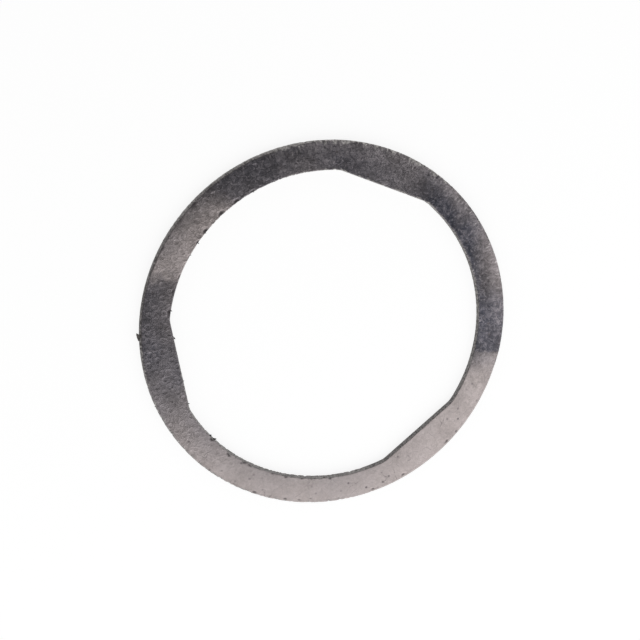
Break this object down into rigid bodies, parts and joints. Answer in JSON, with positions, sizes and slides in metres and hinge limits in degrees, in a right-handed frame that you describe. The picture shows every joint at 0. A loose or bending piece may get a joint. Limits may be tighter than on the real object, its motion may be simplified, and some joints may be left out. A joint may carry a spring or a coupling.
{
  "type": "gasket",
  "caption": "Flat ring gasket cut from graphite-faced sheet, round outside, with straight flats standing into its round bore, to seal a clamped flange joint.",
  "frame": {"origin": "on the ring's axis, in the plane of its lower face", "axes": "+Z along the ring's axis, out of the upper face; +Y towards the middle of one bore flat"},
  "size_m": [0.1, 0.1, 0.002],
  "materials": {
    "graphite_sheet": "satin grey rolled graphite facing with small round prints and darker cut edges"
  },
  "bodies": {
    "root": {"gasket_ring": "graphite_sheet"}
  },
  "joints": []
}
